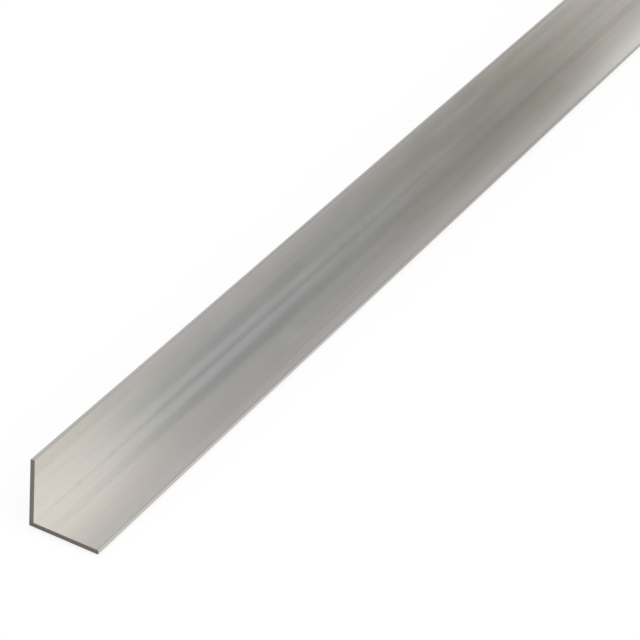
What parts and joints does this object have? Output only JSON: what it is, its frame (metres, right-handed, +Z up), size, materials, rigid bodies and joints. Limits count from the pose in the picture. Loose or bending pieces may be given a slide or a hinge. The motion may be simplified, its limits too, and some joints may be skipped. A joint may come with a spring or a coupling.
{
  "type": "metal angle section",
  "caption": "Straight equal-leg aluminium angle section with a thin L profile, sharp corners and square sawn ends, for framing, edging and brackets.",
  "frame": {"origin": "on the floor, in the middle of the footprint of the bar's bounding box", "axes": "+Y along the bar, +Z up the upright leg, +X across the flat leg from the heel to its free edge"},
  "size_m": [0.025, 1, 0.025],
  "materials": {
    "mill_aluminium": "mill finish, fine lengthwise die lines, satin"
  },
  "bodies": {
    "root": {"angle_section": "mill_aluminium"}
  },
  "joints": []
}
